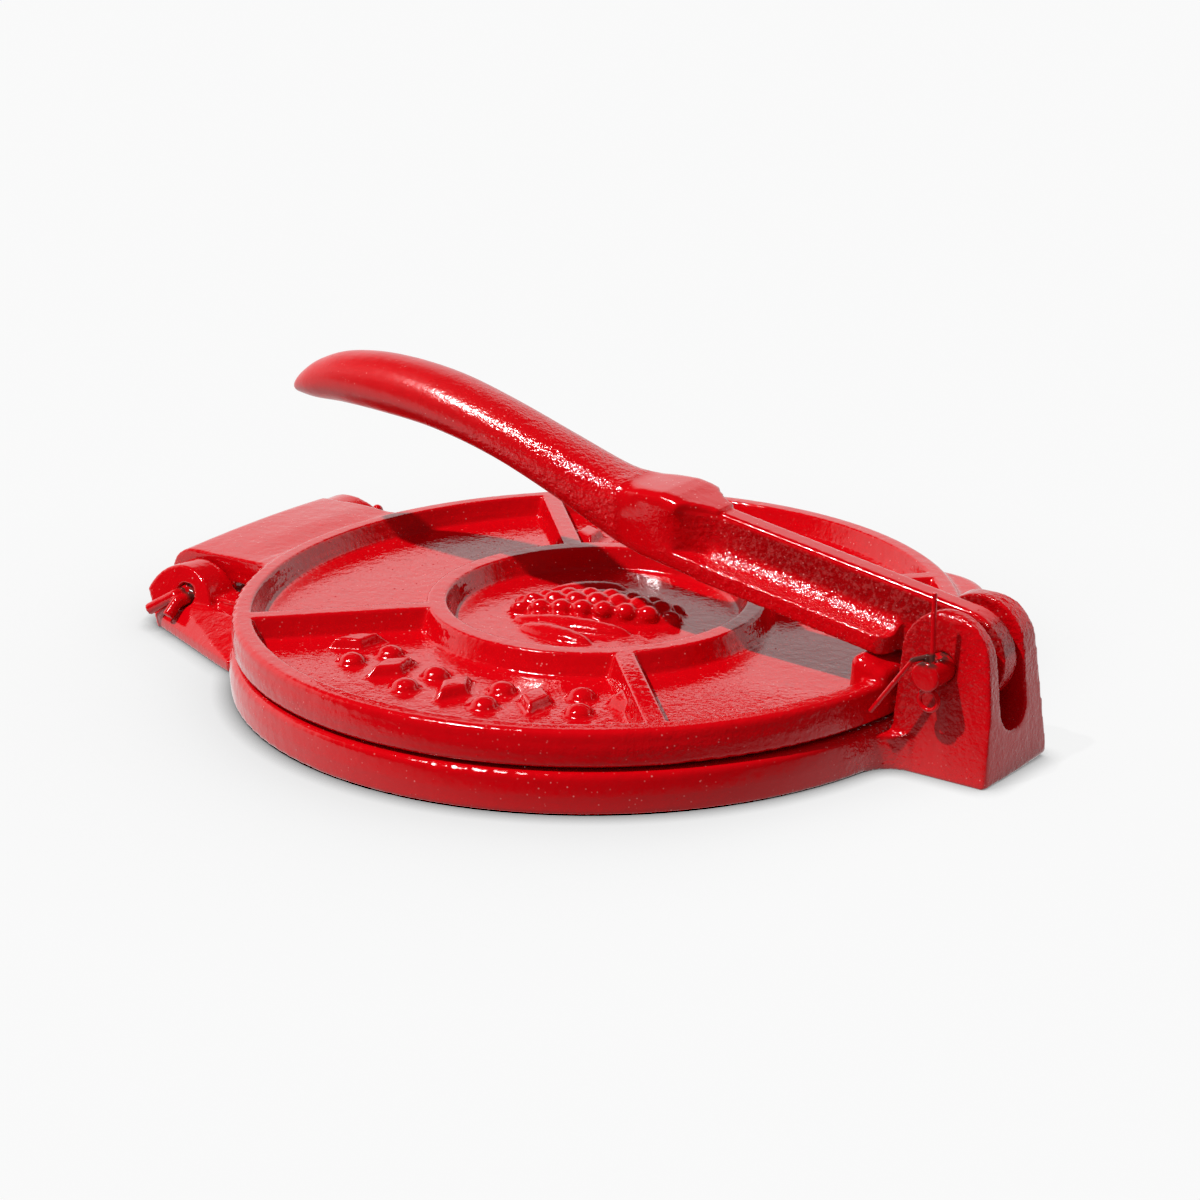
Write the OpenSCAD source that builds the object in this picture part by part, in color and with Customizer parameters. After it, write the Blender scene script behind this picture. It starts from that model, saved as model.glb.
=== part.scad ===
// Tortilla press: two round cast-iron plates hinged on the left, closed by a lever that pivots in a
// clevis on the right and bears on a nose of the upper plate.
// Millimetres. Origin: centre of the lower plate, on the table. +X to the clevis, +Y to the back, +Z up.

/* [Plates] */
// Diameter of the lower plate
plate_d = 202.2; // [150:0.1:260]
// How much smaller the upper plate's radius is
lid_step = 1.1; // [0:0.1:3]
// Thickness of the lower plate
base_t = 10.9; // [8:0.1:20]
// Thickness of the upper plate, underside to rim
lid_t = 9.7; // [8:0.1:20]
// Clearance between the closed plates
plate_gap = 0.9; // [0.1:0.05:1]
// Rounding of the plates' outer edges
edge_r = 1.5; // [0.5:0.1:3]

/* [Relief of the plates] */
// Width of the upper plate's rim
rim_w = 5.5; // [3:0.1:12]
// Radius inside the raised ring
ring_r = 41.5; // [20:0.5:70]
// Width of the raised ring
ring_w = 5; // [2:0.1:10]
// Width of the four spokes at the top
spoke_w = 5; // [2:0.1:10]
// Depth of the pockets in the upper plate
pocket_deep = 6; // [2:0.1:8]
// How far a pocket's wall slopes in from top to floor
wall_slope = 2.4; // [0.5:0.1:5]
// Depth of the hollow under the lower plate
hollow_deep = 6; // [1:0.1:8]
// Width of the rim and ribs under the lower plate
rib_w = 7; // [4:0.1:14]

/* [Ornament] */
// Length of the maize cob in the middle of the upper plate
cob_l = 48; // [20:0.5:70]
// Width of the cob
cob_w = 17; // [8:0.5:30]
// Height of the cob above the pocket's floor
cob_h = 4.3; // [1:0.1:6]
// Direction of the cob, measured from the clevis towards the back
cob_angle = 24; // [0:1:180]
// Height of the husk leaves
leaf_h = 3.2; // [1:0.1:5]
// Number of motifs in a band of lozenges and beads
band_count = 9; // [3:2:15]
// Radius of a band's middle
band_r = 68; // [40:0.5:120]
// Angle from one motif of a band to the next
band_step = 9.6; // [5:0.1:30]
// Length of a lozenge
lozenge_l = 19; // [4:0.5:40]
// Width of a lozenge
lozenge_w = 10.5; // [3:0.5:20]
// Diameter of a bead
bead_d = 7.6; // [3:0.1:14]
// Height of lozenges and beads
band_h = 2.8; // [1:0.1:5]

/* [Nose] */
// Width of the nose that the lever bears on
nose_w = 28; // [16:0.5:40]
// Length of the nose along the lever
nose_l = 11; // [8:0.1:20]
// Rounding of the nose's edges
nose_r = 2.5; // [1:0.1:4]
// Fall of the nose's top from its high end to the clevis
nose_fall = 2.4; // [0:0.1:5]
// Clearance between nose and resting lever
nose_gap = 0.3; // [0.1:0.05:1]

/* [Lifting tab] */
// Radius of the rounded tab
tab_r = 20.3; // [10:0.1:30]
// How far the tab stands out of the upper plate
tab_out = 8.4; // [4:0.1:20]
// Thickness of the tab
tab_t = 8; // [4:0.1:9]
// Direction of the tab, measured from the clevis towards the back
tab_angle = 41; // [20:1:160]

/* [Hinge] */
// Distance from the lower plate's edge to the hinge axis
hinge_out = 15.9; // [12:0.1:30]
// Height of the hinge axis
hinge_z = 9.9; // [8:0.1:20]
// Diameter of the hinge pin
hinge_pin_d = 7; // [4:0.1:10]
// Width of the upper plate's hinge block
block_w = 59.6; // [30:0.1:90]
// Radius of the block's rounded heel
heel_r = 8.8; // [5:0.1:12]
// How far the heel's centre lies beyond the hinge axis
heel_out = 8.5; // [2:0.1:12]
// How far the block's top lies below the upper plate's rim, at the heel
block_drop = 2.5; // [0.5:0.1:4]
// How much the block's top rises from the heel to the plate
block_fall = 1; // [0:0.1:3]
// Fillets between the block's sides and the plate
block_fillet = 6; // [2:0.5:12]
// Radius of the block's barrel around the pin
barrel_r = 8.2; // [5:0.1:12]
// Clearance on each side of the block, between the ears
ear_gap = 1.2; // [0.3:0.1:3]
// Thickness of an ear at its top
ear_t = 8.5; // [5:0.1:16]
// Radius of the front ear's arch
ear_r = 13.4; // [8:0.1:20]
// How far the front arch's centre lies beyond the hinge axis
ear_out = 2.4; // [0:0.1:8]
// Height of the front ear above the hinge axis
ear_rise = 7.9; // [6:0.1:12]
// Radius of the back ear's arch
back_ear_r = 16.5; // [8:0.1:20]
// How far the back arch's centre lies beyond the hinge axis
back_ear_out = 8; // [0:0.1:12]
// Height of the back ear above the hinge axis
back_ear_rise = 8.5; // [6:0.1:12]
// How much narrower an ear's outer face is at the table
ear_tuck = 7.4; // [0:0.1:10]
// How far an ear's foot stands out beyond its top
ear_flare = 6.5; // [0:0.1:12]
// Thickness of the foot flange
foot_t = 3; // [1.5:0.1:6]
// How far the gusset's ridge lies below the hinge axis
ridge_drop = 1.4; // [0:0.1:5]
// How far the gusset's ridge stands out beyond the ear's top
ridge_out = 5.5; // [2:0.1:10]

/* [Clevis] */
// Distance from the lower plate's edge to the lever's pivot
pivot_out = 13.1; // [10:0.1:25]
// Height of the pivot above the closed upper plate
pivot_rise = 7.2; // [4:0.1:15]
// Width of the clevis at the table
clevis_w = 29.4; // [22:0.1:50]
// Width of the clevis at the top of its arch
clevis_top_w = 23; // [20:0.1:40]
// Length of the clevis at the table
clevis_l = 29.5; // [24:0.1:50]
// How much shorter the clevis is at its front corner than at its back one
end_skew = 1.8; // [0:0.1:4]
// Rounding of the clevis's upright corners
end_r = 1.2; // [0.5:0.1:6]
// Rounding of its toe
toe_r = 2.5; // [0.5:0.1:6]
// Rounding of the clevis's shoulders
shoulder_r = 3; // [1:0.1:6]
// Radius of the arch over the pivot
arch_r = 12.3; // [8:0.1:20]
// Height of the arch's centre above the pivot
arch_rise = 1.8; // [0:0.1:5]
// How far the arch's centre lies beyond the pivot
arch_out = 0.8; // [0:0.1:3]
// Width of the slot
slot_w = 13; // [8:0.1:20]
// How far the slot's middle lies towards the front
slot_off = 1.2; // [-3:0.1:3]
// Height of the slot's floor
slot_z = 12.2; // [6:0.1:20]
// Radius of the fillets between clevis and lower plate
clevis_fillet = 9; // [3:0.5:20]

/* [Lever] */
// Angle of the lever's arm above level, at rest
arm_angle = 9.35; // [4:0.05:20]
// Height of the arm's section
arm_h = 17.6; // [12:0.1:30]
// Distance from the pivot axis to the arm's underside
arm_drop = 5.05; // [3:0.05:10]
// Thickness of the arm's web
web_t = 6.4; // [4:0.1:12]
// Width of the arm's flange
flange_w = 20.6; // [12:0.1:30]
// Thickness of the flange at its edge
flange_t = 5.2; // [3:0.1:8]
// Rounding of the flange's edges
flange_r = 0.9; // [0.3:0.1:2]
// Fillet between web and flange
web_fillet = 6; // [1:0.1:7]
// Distance from the pivot to the flange's end
flange_start = 17; // [14:0.1:30]
// Distance from the pivot to where the web widens into the handle
web_end = 72; // [40:0.5:120]
// Radius of that widening
scoop_r = 16; // [6:0.5:30]
// Distance from the pivot to the handle's tip
lever_l = 222.7; // [150:0.1:320]
// Width of the handle where it is widest
handle_w = 21.6; // [14:0.1:32]
// Thickness of the handle where it is thickest
handle_t = 16.6; // [10:0.1:28]

/* [Pins] */
// Diameter of the lever's pivot pin
pin_d = 7.6; // [5:0.1:12]
// Diameter of the pivot pin's head
pin_head_d = 12; // [9:0.1:18]
// Thickness of the pivot pin's head
pin_head_t = 3; // [1.5:0.1:5]
// How far the pivot pin stands out in front of the clevis
pin_out = 8.4; // [5:0.1:15]
// Diameter of the small split pin's wire
cotter_d = 1.3; // [0.8:0.05:2.5]
// Length of the small split pin's straight leg above the pivot pin
cotter_leg = 17.5; // [5:0.5:30]
// Running clearance on the radius of a moving bore
run_gap = 0.06; // [0.02:0.01:0.1]
// Clearance on the radius of a bore that stays still on its pin
seat_gap = 0.04; // [0.02:0.01:0.1]
// Radius of the small split pin's eye
cotter_eye_r = 2.6; // [1.5:0.1:5]

/* [Hidden] */

$fn = 96;
e = 0.01;
leg_gap = 0.05;
iron_red = [0.62, 0.01, 0.03];
pin_red = [0.55, 0.02, 0.04];

base_r = plate_d / 2;
lid_r = base_r - lid_step;
lid_z = base_t + plate_gap;
rim_z = lid_z + lid_t;
pocket_z = rim_z - pocket_deep;

hinge_x = -(base_r + hinge_out);
hinge_pin_r = hinge_pin_d / 2;
ear_in = block_w / 2 + ear_gap;
ear_top_y = ear_in + ear_t;
ear_foot_y = ear_top_y + ear_flare;
block_top = rim_z - block_drop;

pivot_x = base_r + pivot_out;
pivot_z = rim_z + pivot_rise;
pin_r = pin_d / 2;
arch_x = pivot_x + arch_out;
arch_z = pivot_z + arch_rise;
clevis_top = arch_z + arch_r;
clevis_x = base_r - 0.2;
clevis_face = clevis_w / 2 - (clevis_w - clevis_top_w) / 2 * pivot_z / clevis_top;

// Height of the resting arm's underside at a distance s from the pivot.
function arm_under(s) = pivot_z + s * tan(arm_angle) - arm_drop / cos(arm_angle);

// ---------- small helpers ----------

// A solid rod from point a to point b.
module rod(a, b, r) {
    d = b - a;
    translate(a)
        rotate([0, acos(d[2] / norm(d)), atan2(d[1], d[0])])
            cylinder(r = r, h = norm(d), $fn = 32);
}

// The waste outside a rounded corner: a square less a quarter disc, with its centre at the origin.
module corner_waste(r) {
    difference() {
        square(r + e);
        circle(r);
    }
}

// A rectangle with rounded corners, centred on x, standing on y = 0.
module soft_rect(w, h, r) {
    translate([-w / 2 + r, 0]) square([w - 2 * r, h]);
    translate([-w / 2, r]) square([w, h - 2 * r]);
    for (x = [-w / 2 + r, w / 2 - r], y = [r, h - r])
        translate([x, y]) circle(r);
}

// A round plate with rounded edges.
module plate(r, t, top_r, bottom_r) {
    rotate_extrude($fn = 180)
        difference() {
            square([r, t]);
            translate([r - top_r, t - top_r]) corner_waste(top_r);
            translate([r - bottom_r, bottom_r]) mirror([0, 1]) corner_waste(bottom_r);
        }
}

// A sloping-sided annular pocket, cut down from z = 0.
module ring_pocket(r_in, r_out, deep) {
    floor_in = r_in > 0 ? r_in + wall_slope : 0;
    rotate_extrude($fn = 180)
        polygon([[r_in, e], [floor_in, -deep], [r_out - wall_slope, -deep], [r_out, e]]);
}

// A radial bar with sloping sides, its top at z = 0.
module spoke(from, to, w, deep) {
    translate([from, 0, 0])
        rotate([90, 0, 90])
            linear_extrude(to - from)
                polygon([[-w / 2, 0], [-w / 2 - wall_slope, -deep],
                         [w / 2 + wall_slope, -deep], [w / 2, 0]]);
}

// ---------- lower plate ----------

// The clevis seen from the side: upright block with an arched top.
module clevis_side() {
    foot_in = clevis_x;
    foot_out = clevis_x + clevis_l;
    polygon([[foot_in, 0], [foot_out - toe_r, 0], [foot_out, toe_r],
             [arch_x + arch_r + 0.1, arch_z], [arch_x - arch_r, arch_z]]);
    translate([foot_out - toe_r, toe_r]) circle(toe_r);
    translate([arch_x, arch_z]) circle(arch_r);
}

// The clevis seen from above: its end is a little skew, with rounded corners.
module clevis_plan() {
    foot_out = clevis_x + clevis_l;
    half = clevis_w / 2;
    front = [foot_out - end_skew - end_r, end_r - half];
    back = [foot_out - end_r, half - end_r];
    turn = atan(end_skew / (back[1] - front[1]));
    out = end_r * [cos(turn), -sin(turn)];
    polygon([[0, -half], [front[0], -half], front + out, back + out, [back[0], half], [0, half]]);
    for (corner = [front, back])
        translate(corner) circle(end_r);
}

// The clevis seen from its end: tapering, with rounded shoulders and a round-bottomed slot.
module clevis_end() {
    half_foot = clevis_w / 2;
    half_top = clevis_top_w / 2;
    shoulder_z = clevis_top - shoulder_r;
    shoulder_y = half_top - shoulder_r;
    side_y = half_top + shoulder_r * (half_foot - half_top) / clevis_top;
    difference() {
        union() {
            polygon([[-half_foot, 0], [half_foot, 0], [side_y, shoulder_z], [shoulder_y, clevis_top],
                     [-shoulder_y, clevis_top], [-side_y, shoulder_z]]);
            for (side = [-1, 1])
                translate([side * (shoulder_y + 0.2), shoulder_z]) circle(shoulder_r);
        }
        translate([-slot_off, slot_z + slot_w / 2]) {
            circle(slot_w / 2);
            translate([-slot_w / 2, 0]) square([slot_w, clevis_top]);
        }
    }
}

// Outline of the fillets that run a block's sides into a round plate, on the plate's +X side.
module root_fillets(plate_r, half_w, r) {
    y = half_w + r;
    x = sqrt(pow(plate_r + r, 2) - y * y);
    touch = plate_r / (plate_r + r);
    inside = x * touch;
    for (side = [-1, 1])
        difference() {
            polygon([[x, 0], [x, side * half_w], [x * touch, side * y * touch],
                     [inside, side * half_w], [inside, 0]]);
            translate([x, side * y]) circle(r);
        }
}

module clevis() {
    intersection() {
        rotate([90, 0, 0]) linear_extrude(clevis_w, center = true) clevis_side();
        rotate([90, 0, 90]) linear_extrude(base_r + clevis_l * 2) clevis_end();
        linear_extrude(clevis_top + e) clevis_plan();
    }
}

// One hinge ear with its flared foot, on the back side. r is its arch's radius, x and top say where
// the arch stands and how high.
module hinge_ear(x, r, top) {
    skin = 0.4;
    lean = atan(ear_flare / top);
    ridge_z = hinge_z - ridge_drop;
    ridge_y = ear_top_y + ridge_out;
    ridge_from = x + 2 * r;
    ridge_to = ridge_from + r;
    // arched ear, its outer face leaning in towards the top
    hull() {
        translate([x, ear_in + skin, 0]) rotate([90, 0, 0]) linear_extrude(skin) ear_arch(r, top, 0);
        translate([x, ear_foot_y, 0]) rotate([90 + lean, 0, 0])
            linear_extrude(skin) scale([1, 1 / cos(lean)]) ear_arch(r, top, ear_tuck);
    }
    // sloping gusset from the foot flange up to a ridge beside the ear
    hull() {
        linear_extrude(foot_t) foot_plan(x - r / 2);
        translate([0, 0, ridge_z - skin])
            linear_extrude(skin)
                polygon([[hinge_x - hinge_pin_r, ear_in], [hinge_x - hinge_pin_r, ridge_y - 3],
                         [ridge_from, ridge_y], [ridge_to, ridge_y], [ridge_to, ear_in]]);
    }
    // bridge from the ear to the plate
    translate([x, ear_in, 0]) cube([ridge_to - x, ear_t, base_t - 0.6]);
}

// Outline of an ear seen from the side, standing on the table, its outer end drawn in by tuck.
module ear_arch(r, top, tuck) {
    centre_z = top - r;
    intersection() {
        translate([0, centre_z]) circle(r, $fn = 64);
        polygon([[tuck - r, 0], [-r, top * 0.62], [-r, top], [r, top], [r, 0]]);
    }
}

// Outline of the flange on which an ear stands, from its outer end at left.
module foot_plan(left) {
    corner = 2.5;
    touch = base_r * [-cos(36), sin(36)];
    translate([left + corner, ear_foot_y - corner]) circle(corner, $fn = 32);
    polygon([[left, ear_in], [left, ear_foot_y - corner], [left + corner, ear_foot_y],
             touch + [0, corner], [touch[0] + ear_t, ear_in]]);
}

// The hollow under the lower plate: a shallow recess left by the rim, crossed by two ribs.
module base_hollow() {
    difference() {
        mirror([0, 0, 1]) ring_pocket(0, base_r - rib_w, hollow_deep);
        mirror([0, 0, 1])
            for (a = [45, 135, 225, 315])
                rotate(a) spoke(-rib_w, base_r - rib_w / 2, rib_w, hollow_deep + 1);
    }
}

module base() {
    color(iron_red)
    difference() {
        union() {
            plate(base_r, base_t, edge_r, 0.8);
            clevis();
            linear_extrude(base_t - edge_r) root_fillets(base_r, clevis_w / 2, clevis_fillet);
            hinge_ear(hinge_x - back_ear_out, back_ear_r, hinge_z + back_ear_rise);
            mirror([0, 1, 0]) hinge_ear(hinge_x - ear_out, ear_r, hinge_z + ear_rise);
        }
        base_hollow();
        // pin holes
        translate([pivot_x, clevis_w, pivot_z]) rotate([90, 0, 0])
            cylinder(r = pin_r + seat_gap, h = 2 * clevis_w);
        translate([hinge_x, ear_foot_y + e, hinge_z]) rotate([90, 0, 0])
            cylinder(r = hinge_pin_r + seat_gap, h = 2 * (ear_foot_y + e));
    }
}

// ---------- upper plate ----------

// Side view of the hinge block: flat plate, rounded heel, and the barrel round the pin.
module block_side() {
    heel_x = hinge_x - heel_out;
    heel_z = block_top - heel_r;
    polygon([[heel_x, lid_z], [rim_w - lid_r, lid_z], [rim_w - lid_r, block_top + block_fall],
             [heel_x, block_top]]);
    intersection() {
        translate([heel_x, heel_z]) circle(heel_r);
        translate([heel_x - heel_r, lid_z]) square([heel_r * 2, heel_r]);
    }
    translate([hinge_x, hinge_z]) circle(barrel_r);
    translate([hinge_x - barrel_r, hinge_z]) square([2 * barrel_r, lid_z - hinge_z + e]);
}

module hinge_block() {
    translate([0, block_w / 2, 0]) rotate([90, 0, 0]) linear_extrude(block_w) block_side();
    mirror([1, 0, 0]) translate([0, 0, lid_z])
        linear_extrude(block_top + block_fall - lid_z) root_fillets(lid_r, block_w / 2, block_fillet);
}

// The nose: rounded block whose top falls towards the clevis.
module nose() {
    nose_out = lid_r - 0.4;
    nose_in = nose_out - nose_l;
    high = arm_under(pivot_x - nose_in - nose_r) - nose_gap;
    hull() {
        for (y = [-1, 1] * (nose_w / 2 - nose_r)) {
            translate([nose_in + nose_r, y, high - nose_r - 0.1]) sphere(nose_r, $fn = 32);
            translate([nose_out - nose_r, y, high - nose_fall - nose_r]) sphere(nose_r, $fn = 32);
            translate([nose_in + nose_r - 0.8, y, pocket_z - 1]) cylinder(r = nose_r, h = 1, $fn = 32);
            translate([nose_out - nose_r, y, pocket_z - 1]) cylinder(r = nose_r, h = 1, $fn = 32);
        }
    }
}

// The rounded tab that lifts the upper plate.
module lift_tab() {
    rotate(tab_angle)
        difference() {
            translate([lid_r + tab_out - tab_r, 0, lid_z]) plate(tab_r, tab_t, 3, 1.5);
            translate([0, 0, lid_z - e]) cylinder(r = lid_r - edge_r - 1, h = tab_t + 2 * e, $fn = 180);
        }
}

// A low dome on a pocket's floor, at the origin's height.
module dome(l, w, h) {
    intersection() {
        scale([l / 2, w / 2, h]) sphere(1, $fn = 24);
        translate([-l, -w, -0.6]) cube([2 * l, 2 * w, h + 1]);
    }
}

// The maize cob in the middle, between four husk leaves.
module cob() {
    translate([0, 0, pocket_z]) rotate(cob_angle) {
        dome(cob_l, cob_w, cob_h);
        for (side = [-1, 1]) {
            translate([-cob_l * 0.1, side * cob_w * 0.66, 0]) rotate(side * 10)
                dome(cob_l * 0.72, cob_w * 0.5, leaf_h);
            translate([-cob_l * 0.16, side * cob_w * 1.08, 0]) rotate(side * 24)
                dome(cob_l * 0.5, cob_w * 0.44, leaf_h * 0.9);
        }
    }
}

// A band of lozenges in turn with pairs of beads, on the side of the plate that middle names.
module band(middle) {
    bead_out = lozenge_l * 0.29;
    half = (band_count - 1) / 2;
    for (k = [-half : half])
        rotate(middle + k * band_step)
            translate([band_r, 0, pocket_z - 0.6])
                if ((k + half) % 2 == 0) {
                    scale([lozenge_l / 2, lozenge_w / 2, band_h + 0.6])
                        cylinder(r1 = 1, r2 = 0.62, h = 1, $fn = 4);
                } else {
                    for (out = [-1, 1] * bead_out)
                        translate([out, 0, 0.6]) dome(bead_d, bead_d, band_h);
                }
}

// The pockets, ring and spokes of the upper plate.
module lid_relief() {
    translate([0, 0, rim_z])
        difference() {
            union() {
                ring_pocket(0, ring_r, pocket_deep);
                ring_pocket(ring_r + ring_w, lid_r - rim_w, pocket_deep);
            }
            for (a = [45, 135, 225, 315])
                rotate(a) spoke(ring_r + ring_w / 2, lid_r - rim_w / 2, spoke_w, pocket_deep + 1);
        }
}

module lid() {
    color(iron_red)
    difference() {
        union() {
            difference() {
                translate([0, 0, lid_z]) plate(lid_r, lid_t, edge_r, 1.2);
                lid_relief();
            }
            hinge_block();
            nose();
            lift_tab();
            cob();
            band(-86);
            band(90);
        }
        translate([hinge_x, block_w / 2 + e, hinge_z]) rotate([90, 0, 0])
            cylinder(r = hinge_pin_r + run_gap, h = block_w + 2 * e);
    }
}

// ---------- lever ----------

// Section of the arm: web and flange with fillets, standing on its underside.
module arm_section() {
    soft_rect(flange_w, flange_t, flange_r);
    soft_rect(web_t, arm_h, 1);
    for (side = [0, 1])
        mirror([side, 0])
            difference() {
                translate([web_t / 2 - e, flange_t - e]) square(web_fillet + e);
                translate([web_t / 2 + web_fillet, flange_t + web_fillet]) circle(web_fillet);
            }
}

// Form of the handle, from the arm to the tip. Each row holds the share of the way to the tip, the
// height above the pivot, the half thickness and half width as shares, and the squareness.
handle_form = [
    [0.00, 15.9, 1.135, 0.98, 8.0],
    [0.041, 17.25, 1.17, 0.975, 8.0],
    [0.088, 18.85, 1.21, 0.97, 8.0],
    [0.135, 19.45, 1.15, 0.965, 7.0],
    [0.175, 19.95, 1.10, 0.96, 4.2],
    [0.222, 21.2, 1.10, 0.955, 3.0],
    [0.355, 28.6, 0.97, 0.965, 2.6],
    [0.489, 35.4, 0.94, 0.98, 2.3],
    [0.623, 40.2, 0.98, 1.00, 2.1],
    [0.756, 42.1, 1.00, 0.965, 2.0],
    [0.863, 41.8, 0.89, 0.85, 2.0],
    [0.93, 39.9, 0.70, 0.685, 2.0],
    [0.97, 38.1, 0.44, 0.46, 2.0],
    [0.992, 36.7, 0.22, 0.25, 2.0],
    [1.00, 36.2, 0.05, 0.07, 2.0]
];

// Smooth curve through column c of the form, at share t.
function form_at(t, c) =
    let (n = len(handle_form) - 1,
         k = max([for (i = [0:n - 1]) handle_form[i][0] <= t ? i : 0]),
         a = handle_form[max(k - 1, 0)], b = handle_form[k],
         p = handle_form[k + 1], q = handle_form[min(k + 2, n)],
         w = p[0] - b[0], u = (t - b[0]) / w,
         mb = (p[c] - a[c]) / (p[0] - a[0]) * w, mp = (q[c] - b[c]) / (q[0] - b[0]) * w)
    (2 * u * u * u - 3 * u * u + 1) * b[c] + (u * u * u - 2 * u * u + u) * mb
    + (3 * u * u - 2 * u * u * u) * p[c] + (u * u * u - u * u) * mp;

function power(v, n) = sign(v) * pow(abs(v), 2 / n);

// The handle: sections that change from the arm's square to a flat oval, skinned into one solid. The
// web widens into it in a round scoop on each side, above the flange.
module handle() {
    sides = 32;
    steps = 56;
    shares = [for (i = [0:steps]) 1 - pow(1 - i / steps, 1.35)];
    rings = [for (t = shares) let (at = min(t, 0.99999))
        [for (j = [0:sides - 1]) let (g = 360 * j / sides)
            [-(web_end + (lever_l - web_end) * t),
             form_at(at, 3) * handle_w / 2 * power(cos(g), form_at(at, 4)),
             form_at(at, 1) + form_at(at, 2) * handle_t / 2 * power(sin(g), form_at(at, 4))]]];
    points = [for (ring = rings) each ring];
    skin = [for (i = [0:steps - 1], j = [0:sides - 1])
        [i * sides + j, (i + 1) * sides + j, (i + 1) * sides + (j + 1) % sides, i * sides + (j + 1) % sides]];
    first = [[for (j = [sides - 1:-1:0]) j]];
    last = [[for (j = [0:sides - 1]) steps * sides + j]];
    difference() {
        polyhedron(points, concat(skin, first, last));
        rotate([0, arm_angle, 0])
            for (side = [-1, 1])
                translate([1 - web_end, side * (web_t / 2 + scoop_r), flange_t - arm_drop])
                    cylinder(r = scoop_r, h = arm_h);
    }
}

// The arm, drawn in the pivot's frame at rest.
module arm() {
    arm_l = web_end + web_t / 2;
    corner = 5;
    rotate([0, arm_angle, 0])
        difference() {
            translate([-arm_l, 0, -arm_drop]) rotate([90, 0, 90]) {
                linear_extrude(arm_l - flange_start) arm_section();
                linear_extrude(arm_l) soft_rect(web_t, arm_h, 1);
            }
            // rounded corners at the flange's end
            for (side = [-1, 1])
                translate([-flange_start - corner, side * (flange_w / 2 - corner), -arm_drop - e])
                    linear_extrude(flange_t + 2 * e)
                        mirror([0, side < 0 ? 1 : 0]) corner_waste(corner);
        }
}

module lever() {
    boss_r = arm_h - arm_drop;
    color(iron_red)
    translate([pivot_x, 0, pivot_z])
        difference() {
            union() {
                arm();
                handle();
                translate([0, web_t / 2, 0]) rotate([90, 0, 0]) cylinder(r = boss_r, h = web_t);
            }
            translate([0, web_t, 0]) rotate([90, 0, 0]) cylinder(r = pin_r + run_gap, h = 2 * web_t);
        }
}

// ---------- pins ----------

// The large split pin of the hinge. Its legs leave the front ear's bore and spread, one beside the
// ear and one down along the gusset. Its back end is turned up along the back ear.
module hinge_pin() {
    wire_r = hinge_pin_r / 2;
    joint_r = wire_r + leg_gap;
    mouth = -(ear_top_y + ear_flare / 2);
    back = ear_foot_y - wire_r + 0.4;
    apart = hinge_pin_r - wire_r;
    first = [-apart * 0.9, mouth - wire_r, wire_r / 4];
    first_tip = [-5.5 * wire_r, mouth - 2.8 * wire_r, -2.6 * wire_r];
    second = [apart * 0.4, mouth - wire_r * 1.9, -apart * 0.4];
    second_tip = [0, mouth - 3.9 * wire_r, -2.4 * wire_r];
    turned_up = [-wire_r / 2, back - 1.4 * tan(21) * wire_r, 2.1 * wire_r];
    color(pin_red)
    translate([hinge_x, 0, hinge_z]) {
        translate([0, ear_foot_y - ear_flare / 2, 0]) rotate([90, 0, 0])
            cylinder(r = hinge_pin_r, h = ear_foot_y - ear_flare / 2 - mouth - 2.5);
        rod([0, ear_in, 0], [0, back, 0], wire_r);
        translate([0, back, 0]) sphere(joint_r);
        rod([0, back, 0], turned_up, wire_r);
        translate(turned_up) sphere(joint_r);
        rod([first[0], mouth + hinge_pin_d, first[2]], first, wire_r);
        translate(first) sphere(joint_r);
        rod(first, first_tip, wire_r);
        rod([second[0], mouth + hinge_pin_d, second[2]], second, wire_r);
        translate(second) sphere(joint_r);
        rod(second, second_tip, wire_r);
    }
}

// The lever's pivot pin: headed at the back, cross-drilled at the front.
module lever_pin() {
    front = -(clevis_face + pin_out);
    head_y = clevis_face + 0.5;
    color(pin_red)
    translate([pivot_x, 0, pivot_z])
        difference() {
            union() {
                translate([0, head_y + e, 0]) rotate([90, 0, 0]) cylinder(r = pin_r, h = head_y + e - front);
                translate([0, head_y + pin_head_t, 0]) rotate([90, 0, 0])
                    cylinder(d = pin_head_d, h = pin_head_t);
            }
            translate([0, cotter_y, -pin_d]) cylinder(r = cotter_d + leg_gap + seat_gap, h = 2 * pin_d);
        }
}
cotter_y = -(clevis_face + pin_out - 2.6);

// The small split pin: eye below, one leg straight up, the other bent down beside the clevis.
module lever_cotter() {
    wire_r = cotter_d / 2;
    joint_r = wire_r + leg_gap;
    eye_z = -(pin_r + cotter_eye_r + wire_r / 2);
    straight = [wire_r + leg_gap, 0, 0];
    bent = -straight;
    root = [0, 0, eye_z + cotter_eye_r - wire_r / 2];
    over = [0, 0, pin_r + wire_r + 2 * leg_gap];
    shoulder = [-1.13 * pin_r, -wire_r * 1.4, pin_r * 0.82];
    tip = pin_r * [-3.82, -0.82, -3.13];
    color(pin_red)
    translate([pivot_x, cotter_y, pivot_z]) {
        translate([0, 0, eye_z]) rotate([90, 0, 0])
            rotate_extrude($fn = 48) translate([cotter_eye_r, 0]) circle(wire_r, $fn = 32);
        rod(straight + root, straight + [0, 0, pin_r + cotter_leg], wire_r);
        rod(bent + root, bent + over, wire_r);
        translate(bent + over) sphere(joint_r, $fn = 32);
        rod(bent + over, shoulder, wire_r);
        translate(shoulder) sphere(joint_r, $fn = 32);
        rod(shoulder, tip, wire_r);
    }
}

base();
lid();
lever();
hinge_pin();
lever_pin();
lever_cotter();
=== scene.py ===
"""Tortilla press: the painted iron castings, their pins, the floor, the lights and the camera."""

import math

import bmesh
import bpy
from mathutils import Matrix, Vector


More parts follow.
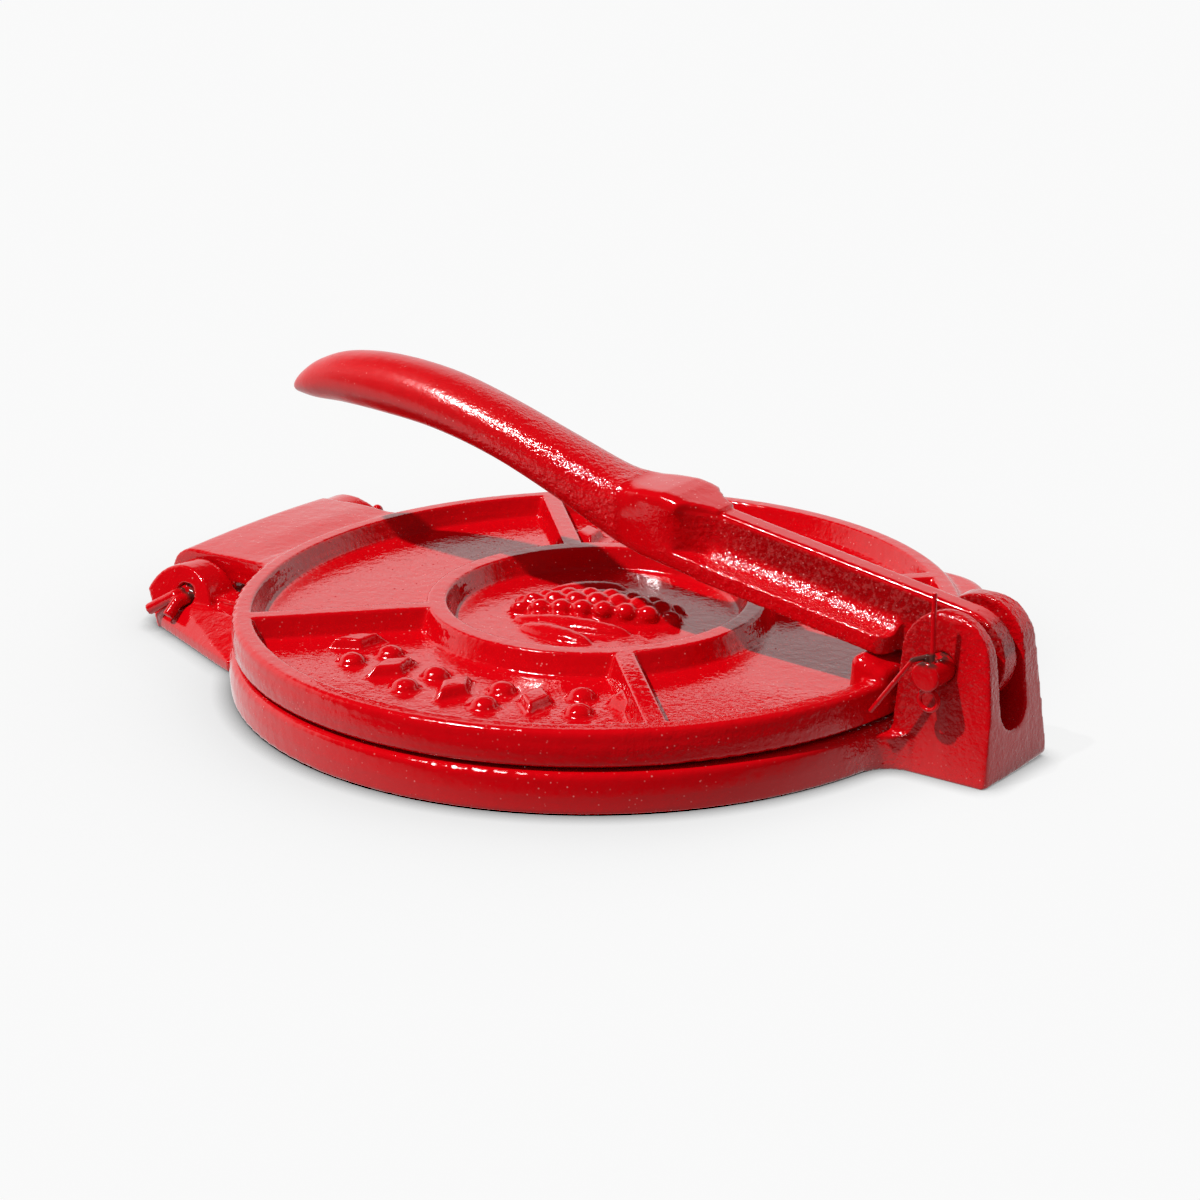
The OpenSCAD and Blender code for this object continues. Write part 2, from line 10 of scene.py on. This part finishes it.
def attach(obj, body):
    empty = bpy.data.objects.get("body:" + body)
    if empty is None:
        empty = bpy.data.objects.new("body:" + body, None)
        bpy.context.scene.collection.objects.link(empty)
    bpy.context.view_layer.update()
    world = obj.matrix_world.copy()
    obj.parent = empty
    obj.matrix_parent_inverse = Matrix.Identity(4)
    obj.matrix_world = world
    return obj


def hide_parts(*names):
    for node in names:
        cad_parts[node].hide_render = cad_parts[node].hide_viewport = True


MM = 0.001

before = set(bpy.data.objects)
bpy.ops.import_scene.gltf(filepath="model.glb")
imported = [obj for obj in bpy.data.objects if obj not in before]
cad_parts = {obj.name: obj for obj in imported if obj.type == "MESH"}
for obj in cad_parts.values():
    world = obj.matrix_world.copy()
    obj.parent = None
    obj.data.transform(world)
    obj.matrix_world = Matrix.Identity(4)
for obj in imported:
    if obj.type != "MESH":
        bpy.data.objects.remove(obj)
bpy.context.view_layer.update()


# ---------------------------------------------------------------- red enamel
# Every iron piece carries the same thick red enamel. It levels into a gloss with a faint orange
# peel, keeps the grain of the sand mould where it is thin, and holds specks of dust. Pink specks
# in its colour are painted glints and reflections, and its red is painted darker for shade on the
# lever's web and round the clevis's pin.

ENAMEL_RED = (0.53, 0.0006, 0.0035)
ENAMEL_DEEP = (0.40, 0.0004, 0.002)
# painted shade: a darker red that stands in for shade on the lever's web and round the clevis's
# pin
ENAMEL_PAINTED_SHADE = (0.24, 0.0004, 0.0014)
# painted reflection: the pink of specks that stand in for glints and reflections off tiny grains
PAINTED_REFLECTION_PINK = (0.80, 0.30, 0.28)
BARE_IRON = (0.035, 0.022, 0.018)
ENAMEL_IOR = 1.50
SWELL_HEIGHT = 0.18
DUST_HEIGHT = 0.09


class Value:
    """A shader value. Python's operators on it add Math nodes."""

    def __init__(self, tree, socket):
        self.tree = tree
        self.socket = socket

    def math(self, operation, *values):
        node = self.tree.nodes.new("ShaderNodeMath")
        node.operation = operation
        for socket, value in zip(node.inputs, values):
            put(self.tree, socket, value)
        return Value(self.tree, node.outputs[0])

    def __add__(self, other):
        return self.math("ADD", self, other)

    def __sub__(self, other):
        return self.math("SUBTRACT", self, other)

    def __rsub__(self, other):
        return self.math("SUBTRACT", other, self)

    def __mul__(self, other):
        return self.math("MULTIPLY", self, other)

    __radd__ = __add__
    __rmul__ = __mul__


def put(tree, socket, value):
    """Links a shader value to a socket, or sets the socket to a plain number or colour."""
    if isinstance(value, Value):
        tree.links.new(value.socket, socket)
    elif isinstance(value, tuple) and len(value) == 3 and socket.type == "RGBA":
        socket.default_value = (*value, 1)
    else:
        socket.default_value = value


class Finish:
    """A material or the world under construction: one shader and the nodes that feed it."""

    def __init__(self, owner, shader="Principled BSDF", place="Object"):
        owner.use_nodes = True
        self.owner = owner
        self.tree = owner.node_tree
        self.shader = self.tree.nodes[shader]
        self.place = self.node("ShaderNodeTexCoord", output=place)

    def node(self, kind, settings=None, inputs=None, output=0):
        node = self.tree.nodes.new(kind)
        for name, value in (settings or {}).items():
            setattr(node, name, value)
        for name, value in (inputs or {}).items():
            put(self.tree, node.inputs[name], value)
        return Value(self.tree, node.outputs[output])

    def noise(self, size, detail=1.0, rough=0.5):
        """Soft lumps of about this size in metres, from 0 to 1."""
        return self.node("ShaderNodeTexNoise", None,
                         {"Vector": self.place, "Scale": 1 / size, "Detail": detail,
                          "Roughness": rough}, output="Fac")

    def grains(self, size, share, radius, offset=(0, 0, 0)):
        """Separate round grains: 1 at the middle of a grain. A share of the cells holds one, and
        its radius is a share of the cell's size."""
        place = self.node("ShaderNodeMapping", None, {"Vector": self.place, "Location": offset})
        cells = {"Vector": place, "Scale": 1 / size}
        distance = self.node("ShaderNodeTexVoronoi", {"feature": "F1"}, cells, output="Distance")
        colour = self.node("ShaderNodeTexVoronoi", {"feature": "F1"}, cells, output="Color")
        lot = self.node("ShaderNodeSeparateColor", None, {"Color": colour})
        chosen = self.step(lot, 1 - share, 1 - share + 0.01)
        return chosen * (1 - self.step(distance, 0, radius))

    def step(self, value, low, high, start=0.0, end=1.0):
        """Smooth step: start below low, end above high."""
        return self.node("ShaderNodeMapRange", {"interpolation_type": "SMOOTHSTEP"},
                         {"Value": value, "From Min": low, "From Max": high,
                          "To Min": start, "To Max": end})

    def axis(self, name):
        """One coordinate of the surface point, in metres."""
        return self.node("ShaderNodeSeparateXYZ", None, {"Vector": self.place}, output=name)

    def inside(self, name, low, high, soft):
        """1 where a coordinate lies between low and high, fading over soft."""
        at = self.axis(name)
        over_low = self.step(at, low - soft, low + soft)
        over_high = self.step(at, high - soft, high + soft)
        return over_low * (1 - over_high)

    def ray(self, kind):
        """1 for the rays of one kind: Camera, Transmission, Glossy or Diffuse."""
        return self.node("ShaderNodeLightPath", output=f"Is {kind} Ray")

    def mix(self, share, a, b):
        """Blends two colours."""
        return self.node("ShaderNodeMix", {"data_type": "RGBA"}, {0: share, 6: a, 7: b}, output=2)

    def bump(self, height):
        """Raises the surface by a height in millimetres."""
        return self.node("ShaderNodeBump", None,
                         {"Height": height, "Distance": MM, "Strength": 1.0})

    def finish(self, **sockets):
        """Sets the shader's sockets, and returns the finished material or world."""
        for name, value in sockets.items():
            put(self.tree, self.shader.inputs[name.replace("_", " ").title()], value)
        return self.owner


def gloss_even(f):
    """The same gloss all over."""
    return 0.05


def enamel(name, sand, sand_height, peel=0.10, gloss=gloss_even, thin=None, bare=None):
    """Thick red enamel. sand, gloss, thin and bare are functions of the finish: where the mould's
    grain shows, how rough the smooth enamel is, where painted shade darkens the red and where
    the paint is missing.
    Heights are in millimetres."""
    f = Finish(bpy.data.materials.new(name))
    levelled = f.noise(0.0024, 2.0, 0.5) * peel
    swell = f.noise(0.009, 1.0) * SWELL_HEIGHT
    dust = f.grains(0.0024, 0.22, 0.18) * DUST_HEIGHT
    where = sand(f)
    grain = f.noise(0.0011, 2.0, 0.55) + 0.8 * f.noise(0.0026, 1.0)
    height = levelled + swell + dust + where * grain * sand_height
    rough = gloss(f) + 0.04 * f.noise(0.02, 2.0) + 0.01 * where

    cloud = f.step(f.noise(0.006, 4.0, 0.65), 0.52, 0.80)
    colour = f.mix(0.45 * cloud, ENAMEL_RED, ENAMEL_DEEP)
    # painted shade: where thin says, the red is darkened for shade, with a few pink specks of
    # painted reflection
    if thin:
        shade_share = thin(f)
        # painted reflection: pink specks that stand in for grains reflecting the bright floor
        reflection_mottle = f.step(f.noise(0.0012, 2.0, 0.6), 0.50, 0.60)
        colour = f.mix(0.8 * shade_share, colour, ENAMEL_PAINTED_SHADE)
        colour = f.mix(0.07 * shade_share * reflection_mottle, colour, PAINTED_REFLECTION_PINK)
    # painted glints: pink specks, denser in patches, stand in for the key light's glints off tiny
    # grains
    glint_patch = f.step(f.noise(0.022, 2.0), 0.42, 0.60, 0.15, 1.0)
    painted_glint = f.grains(0.0012, 0.26, 0.27, offset=(0.3, 0.1, 0.2)) * glint_patch
    colour = f.mix(0.8 * painted_glint, colour, PAINTED_REFLECTION_PINK)
    if bare:
        colour = f.mix(bare(f), colour, BARE_IRON)
    f.shader.inputs["IOR"].default_value = ENAMEL_IOR
    return f.finish(base_color=colour, roughness=rough, normal=f.bump(height))


# ---------------------------------------------------------------- lower plate
# Cast iron, one piece: the round plate on a ribbed underside, the ears of the hinge with their
# sloping feet at one end, and the slotted clevis for the lever at the other.

BASE_SKIN = 0.50 * MM
SOFTENING = 4
WEAR = 320
TRIANGLE_LIMIT = 190000
BASE_TOP = 10.9 * MM
BASE_PARTING = 5.2 * MM


def welded(node):
    """A copy of a CAD node's mesh with its loose triangles joined."""
    bm = bmesh.new()
    bm.from_mesh(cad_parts[node].data)
    bmesh.ops.remove_doubles(bm, verts=bm.verts, dist=1e-6)
    return bm


def stand(name, data):
    """Puts an object of this data into the scene."""
    thing = bpy.data.objects.new(name, data)
    bpy.context.scene.collection.objects.link(thing)
    return thing


def rub(piece, rounds, group=""):
    """Adds a modifier that rounds the piece's edges a little in each of its rounds."""
    soften = piece.modifiers.new("soften", "SMOOTH")
    soften.factor = 0.5
    soften.iterations = rounds
    soften.vertex_group = group


def cast(name, bm, skin, softening, flats=(), reshape=None, worn=None):
    """Turns a sharp form into a casting: one skin over all of it, with every edge and corner
    softened. flats lists the heights of machined faces, which stay flat and carry few faces.
    reshape is a function that moves each point a little, and worn one that says from 0 to 1 how
    much rounder the casting is at a point."""
    mesh = bpy.data.meshes.new(name)
    bm.to_mesh(mesh)
    bm.free()
    piece = stand(name, mesh)
    remesh = piece.modifiers.new("skin", "REMESH")
    remesh.mode = "VOXEL"
    remesh.voxel_size = skin
    rub(piece, softening)
    bake_modifiers(piece)
    if worn:
        group = piece.vertex_groups.new(name="worn")
        for vert in piece.data.vertices:
            group.add([vert.index], worn(vert.co), "REPLACE")
        rub(piece, WEAR, group.name)
        bake_modifiers(piece)
        piece.vertex_groups.clear()

    bm = bmesh.new()
    bm.from_mesh(piece.data)
    for vert in bm.verts if reshape else ():
        reshape(vert.co)
    for height in flats:
        flat = [face for face in bm.faces
                if all(abs(vert.co.z - height) < 0.012 * MM for vert in face.verts)]
        merged = bmesh.ops.dissolve_faces(bm, faces=flat, use_verts=True)["region"]
        for face in merged:
            for edge in face.edges:
                edge.smooth = False
    for face in bm.faces:
        face.smooth = True
    triangles = sum(len(face.verts) - 2 for face in bm.faces)
    bm.to_mesh(piece.data)
    bm.free()
    if triangles > TRIANGLE_LIMIT:
        piece.modifiers.new("thin", "DECIMATE").ratio = TRIANGLE_LIMIT / triangles
        bake_modifiers(piece)
    return piece


def bake_modifiers(piece):
    """Applies all modifiers to the piece's own mesh."""
    bpy.context.view_layer.update()
    shaped = piece.evaluated_get(bpy.context.evaluated_depsgraph_get())
    mesh = bpy.data.meshes.new_from_object(shaped)
    piece.modifiers.clear()
    old = piece.data
    piece.data = mesh
    bpy.data.meshes.remove(old)


def dress(piece, material, body, slot, *nodes):
    """Gives a finished piece its material and its body, and hides the CAD nodes that it stands
    for.
    """
    piece.data.materials.clear()
    piece.data.materials.append(material)
    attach(piece, body)
    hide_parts(*nodes)


def ramp(value, low, high):
    """0 below low, 1 above high, smooth between them."""
    share = min(1, max(0, (value - low) / (high - low)))
    return share * share * (3 - 2 * share)


def draft_side(point, parting, above, below):
    """Leans a round plate's side in above and below the mould's parting line. above and below are
    shares of the height over or under it."""
    radius = math.hypot(point.x, point.y)
    side = ramp(radius, 95 * MM, 98 * MM) * (1 - ramp(radius, 102 * MM, 107 * MM))
    rise = point.z - parting
    pull = max(0, rise) * above + max(0, -rise) * below
    point.xy *= 1 - side * pull / max(radius, MM)


def base_draft(point):
    """Leans the plate's side, and leaves the clevis and the ears as they are."""
    if point.z < BASE_TOP + 0.3 * MM:
        draft_side(point, BASE_PARTING, 0.09, 0.05)


def base_sand(f):
    """The mould's grain shows on the clevis's end, cheek and crown, and on the hinge's feet."""
    end = f.inside("X", 0.1155, 0.14, 0.002)
    cheek = f.inside("X", 0.094, 0.110, 0.005) * f.inside("Y", -0.03, -0.010, 0.002)
    crown = f.inside("X", 0.095, 0.14, 0.002) * f.inside("Z", 0.022, 0.06, 0.004)
    hinge = f.inside("X", -0.14, -0.09, 0.004) * f.noise(0.006, 2.0)
    return 0.7 * end + 1.3 * cheek + crown + 0.4 * hinge


def clevis_painted_shade(f):
    """Painted shade: the clevis's cheek round the pin is painted darker, for the shade that the
    pin and its split pin cast there.
    """
    return 0.6 * f.inside("X", 0.094, 0.118, 0.006) * f.inside("Z", 0.012, 0.06, 0.006)


base = cast("lower_plate", welded("base"), BASE_SKIN, SOFTENING, flats=(BASE_TOP,),
            reshape=base_draft)
dress(base, enamel("base_enamel", base_sand, 0.20, thin=clevis_painted_shade), "base", "base_paint", "base")


# ---------------------------------------------------------------- upper plate
# Cast iron, one piece with its hinge block, nose and lifting tab. The mould presses shallow
# pockets, a ring and four spokes into its top. A maize cob and a band of lozenges and beads stand
# on the pocket floors.

LID_SKIN = 0.55 * MM
LID_UNDERSIDE = 11.8 * MM
LID_PARTING = 16.3 * MM
FLOOR_Z = 15.5 * MM
COB_LENGTH = 24 * MM
COB_WIDTH = 8.5 * MM
COB_HEIGHT = 4.3 * MM
COB_ANGLE = math.radians(24)
COB_ROWS = 3
COB_COLUMNS = 8
BLOCK_START = -97 * MM
BLOCK_MIDDLE_Y = 6 * MM
BLOCK_HALF = 36 * MM
BLOCK_CROWN = 1.2 * MM


def raise_bead(bm, at, size, turn):
    """A smooth egg-shaped bump. size holds its half length, half width and height."""
    bead = bmesh.ops.create_icosphere(bm, subdivisions=3, radius=1)["verts"]
    bmesh.ops.scale(bm, vec=size, verts=bead)
    bmesh.ops.rotate(bm, cent=(0, 0, 0), matrix=Matrix.Rotation(turn, 3, "Z"), verts=bead)
    bmesh.ops.translate(bm, vec=at, verts=bead)


def raise_kernels(bm):
    """Rows of bold kernels on the cob's dome, which get narrower towards its ends."""
    spin = Matrix.Rotation(COB_ANGLE, 4, "Z")
    for row in range(COB_ROWS):
        across = (row - (COB_ROWS - 1) / 2) / (COB_ROWS / 2)
        for column in range(COB_COLUMNS):
            along = (column - (COB_COLUMNS - 1) / 2 + 0.5 * (row % 2)) / (COB_COLUMNS / 2)
            reach = 1 - along ** 2 * 0.92
            if reach < 0.12:
                continue
            narrow = math.sqrt(reach)
            side = across * COB_WIDTH * narrow * 0.92
            lift = COB_HEIGHT * math.sqrt(max(0.05, reach - (across * 0.8) ** 2)) * 0.92
            at = Vector((0, 0, FLOOR_Z)) + spin @ Vector((along * COB_LENGTH, side, lift))
            size = (3.3 * MM, 2.9 * MM * narrow + 0.3 * MM, 2.7 * MM)
            raise_bead(bm, at, size, COB_ANGLE)


def lid_sand(f):
    """The grain shows on the pockets' steep walls, and on the rim next to the clevis."""
    near = f.inside("X", 0.06, 0.115, 0.01) * f.inside("Y", -0.09, -0.02, 0.01)
    wall = f.inside("Z", 0.0150, 0.0178, 0.0008)
    return near + 0.5 * wall


def lid_draft(point):
    """Leans the side, and crowns the top of the hinge's block."""
    draft_side(point, LID_PARTING, 0.09, 0.06)
    if point.x < BLOCK_START and point.z > 17 * MM:
        bow = max(0, 1 - ((point.y - BLOCK_MIDDLE_Y) / BLOCK_HALF) ** 2)
        top = ramp(-point.x, 98 * MM, 112 * MM) * ramp(point.z, 17 * MM, 19 * MM)
        point.z += BLOCK_CROWN * bow * top


form = welded("lid")
raise_kernels(form)
lid = cast("upper_plate", form, LID_SKIN, SOFTENING, flats=(LID_UNDERSIDE,), reshape=lid_draft)
dress(lid, enamel("lid_enamel", lid_sand, 0.15, 0.16), "lid", "lid_paint", "lid")


# ---------------------------------------------------------------- lever
# Cast iron, one piece: the web between the clevis's cheeks, the flange that bears on the nose, and
# the round grip that the web widens into.

LEVER_SKIN = 0.60 * MM
LEVER_SOFTENING = 1
ARM_ANGLE = math.radians(9.35)
PIVOT_X = 0.1142
PIVOT_Z = 0.0287


def arm_height(x, z):
    """Height above the arm's middle line, which rises from the pivot to the grip. x and z are
    numbers or shader values."""
    return (z - PIVOT_Z) * math.cos(ARM_ANGLE) + (x - PIVOT_X) * math.sin(ARM_ANGLE)


def lever_sand(f):
    """The web and the flange keep the mould's grain. It is coarsest under the paint at the grip's
    root, and fades along the grip. The boss on top is smooth."""
    x, z = f.axis("X"), f.axis("Z")
    below_top = 1 - f.step(arm_height(x, z), 0.0105, 0.0120)
    arm = f.inside("X", 0.030, 0.16, 0.012) * below_top
    root = f.step(x, -0.10, 0.008) * (1 - f.step(x, 0.013, 0.017))
    return arm * 1.8 + root * root * 1.9 + 0.05


def web_painted_shade(f):
    """Painted shade: the web above the flange is painted darker, for the shade that the flange and
    the grip's boss cast on it.
    """
    height = arm_height(f.axis("X"), f.axis("Z"))
    web = f.step(height, 0.0030, 0.0050) * (1 - f.step(height, 0.0105, 0.0120))
    return web * f.inside("X", 0.045, 0.16, 0.016)


def lever_gloss(f):
    """Hands have dulled the grip."""
    return 0.06 + 0.20 * (1 - f.step(f.axis("X"), -0.060, 0.004))


def lever_worn(point):
    """The web widens into the grip's side with a soft edge, and the grip's root is rounder."""
    height = arm_height(point.x, point.z)
    scoop = ramp(point.x, 0.012, 0.024) * (1 - ramp(point.x, 0.040, 0.052))
    side = ramp(height, 0.0006, 0.0022) * (1 - ramp(height, 0.0098, 0.0118))
    root = ramp(point.x, -0.055, -0.02) * (1 - ramp(point.x, 0.007, 0.014))
    return scoop * side + 0.45 * root


lever = cast("lever_casting", welded("lever"), LEVER_SKIN, LEVER_SOFTENING, worn=lever_worn)
dress(lever, enamel("lever_enamel", lever_sand, 0.22, 0.06, lever_gloss, web_painted_shade), "lever",
      "lever_paint", "lever")


# ---------------------------------------------------------------- pins
# Steel wire and rod, painted over with the castings: the hinge's big split pin, the lever's pivot
# pin, and the small split pin that keeps it in place.

PIN_SOFTENING = 2
PINS = (("hinge_pin", 0.45 * MM, "hinge_pin_steel"),
        ("lever_pin", 0.35 * MM, "lever_pin_steel"),
        ("lever_cotter", 0.16 * MM, "cotter_steel"))


def pin_sand(f):
    """The paint lies a little unevenly on the steel."""
    return f.noise(0.004, 1.0)


def pin_bare(f):
    """The paint has missed the wires where they enter a bore."""
    at_hinge = f.inside("X", -0.125, -0.105, 0.001) * f.inside("Y", -0.043, -0.037, 0.0012)
    at_pivot = f.inside("X", 0.10, 0.13, 0.001) * f.inside("Z", 0.0315, 0.0345, 0.0006)
    return 0.9 * (at_hinge + at_pivot) * f.step(f.noise(0.003, 2.0), 0.38, 0.50)


for node, skin, slot in PINS:
    pin = cast(node + "_piece", welded(node), skin, PIN_SOFTENING)
    dress(pin, enamel(node + "_paint", pin_sand, 0.12, bare=pin_bare), "base", slot, node)


# ---------------------------------------------------------------- stage
# A white sweep under and behind the press, one hard key light from the front left, and a room with
# a white wall behind the press, dark in front and overhead.

SWEEP_WHITE = 0.955
SWEEP_HALF = 6
PAPER = (0.42, 0.42, 0.42)
BEHIND = (-0.595, 0.804)
KEY_DIRECTION = Vector((-0.25, -0.44, 0.86)).normalized()
KEY_STRENGTH = 3.8
KEY_ANGLE = math.radians(1.6)
HALO_OUTER = math.radians(11)
HALO_INNER = math.radians(7)


def behind_press(f):
    """How far a point or a direction lies behind the press, seen from the camera."""
    return f.axis("X") * BEHIND[0] + f.axis("Y") * BEHIND[1]


def sweep(name):
    """White paper. The camera sees it bright, dimmed where the press stands over it. The enamel
    reflects it only near the press. To soft light it is a pale grey."""
    f = Finish(bpy.data.materials.new(name))
    f.finish(base_color=PAPER, roughness=0.9)
    f.shader.inputs["Specular IOR Level"].default_value = 0
    paper = Value(f.tree, f.shader.outputs[0])
    # Painted shade: the white that the camera sees is darkened by ambient occlusion near the press
    # and along its foot, less on the lit side. Glossy rays see the paper glow in a pool close to
    # the press.
    wide = f.node("ShaderNodeAmbientOcclusion", {"samples": 12}, {"Distance": 0.10}, output="AO")
    tight = f.node("ShaderNodeAmbientOcclusion", {"samples": 6}, {"Distance": 0.006}, output="AO")
    lit_side = f.step(f.axis("X"), 0.07, 0.13)
    shade = 1 - 0.47 * (1 - wide) * (1 - 0.9 * lit_side) - 0.85 * (1 - tight)
    pool = 0.9 * f.step(behind_press(f), -0.130, -0.062) + 0.02
    eye = f.ray("Camera") + f.ray("Transmission")
    glossy = f.ray("Glossy")
    light = eye * (SWEEP_WHITE * 1.03) * shade + glossy * pool
    glow = f.node("ShaderNodeEmission", None, {"Color": light, "Strength": 1.0})
    mixed = f.node("ShaderNodeMixShader", None, {0: eye * 0.92 + glossy, 1: paper, 2: glow})
    put(f.tree, f.tree.nodes["Material Output"].inputs["Surface"], mixed)
    return f.owner


def room(name):
    """The room's light. Only glossy rays see the wall, and a halo round the key light."""
    f = Finish(bpy.data.worlds.new(name), "Background", "Generated")
    wall = f.step(behind_press(f), -0.15, 0.25) * (1 - f.step(f.axis("Z"), 0.50, 0.68))
    towards_key = sum(f.axis(axis) * part for axis, part in zip("XYZ", KEY_DIRECTION))
    halo = f.step(towards_key, math.cos(HALO_OUTER), math.cos(HALO_INNER))
    eye = f.ray("Camera") + f.ray("Transmission")
    mirrored = f.ray("Glossy") * (0.02 + 0.97 * wall + 20 * halo)
    return f.finish(color=eye * SWEEP_WHITE + mirrored + f.ray("Diffuse") * 0.34, strength=1.0)


bm = bmesh.new()
bmesh.ops.create_grid(bm, x_segments=1, y_segments=1, size=SWEEP_HALF)
floor_mesh = bpy.data.meshes.new("floor")
bm.to_mesh(floor_mesh)
bm.free()
floor = stand("floor", floor_mesh)
floor.data.materials.append(sweep("floor_paper"))

key = stand("key", bpy.data.lights.new("key", "SUN"))
key.data.energy = KEY_STRENGTH
key.data.angle = KEY_ANGLE
key.rotation_euler = KEY_DIRECTION.to_track_quat("Z", "Y").to_euler()
bpy.context.scene.world = room("room")


# ---------------------------------------------------------------- camera
# A long lens a little above the plates, looking from the front right. The frame is square, and the
# focal length is known in pixels of its side.

AZIMUTH = math.radians(36.489)
ELEVATION = math.radians(19.333)
ROLL = math.radians(-0.565)
DISTANCE = 718.657 * MM
ASIDE = Vector((-0.725, -4.564)) * MM
TARGET = Vector((0, 0, 15 * MM))
FOCAL_PIXELS = 2608.9
FRAME_PIXELS = 1200
SENSOR = 36.0

back = Vector((math.sin(AZIMUTH) * math.cos(ELEVATION), -math.cos(AZIMUTH) * math.cos(ELEVATION),
               math.sin(ELEVATION)))
level = Vector((math.cos(AZIMUTH), math.sin(AZIMUTH), 0))
upright = back.cross(level)
right = math.cos(ROLL) * level + math.sin(ROLL) * upright
up = math.cos(ROLL) * upright - math.sin(ROLL) * level
place = TARGET - ASIDE.x * right - ASIDE.y * up + DISTANCE * back

camera = stand("camera", bpy.data.cameras.new("camera"))
camera.data.sensor_width = SENSOR
camera.data.lens = SENSOR * FOCAL_PIXELS / FRAME_PIXELS
camera.data.clip_start = 0.01
camera.data.clip_end = 50
camera.matrix_world = Matrix((
    (right.x, up.x, back.x, place.x),
    (right.y, up.y, back.y, place.y),
    (right.z, up.z, back.z, place.z),
    (0, 0, 0, 1)))
bpy.context.scene.camera = camera
bpy.context.scene.view_settings.view_transform = "Standard"
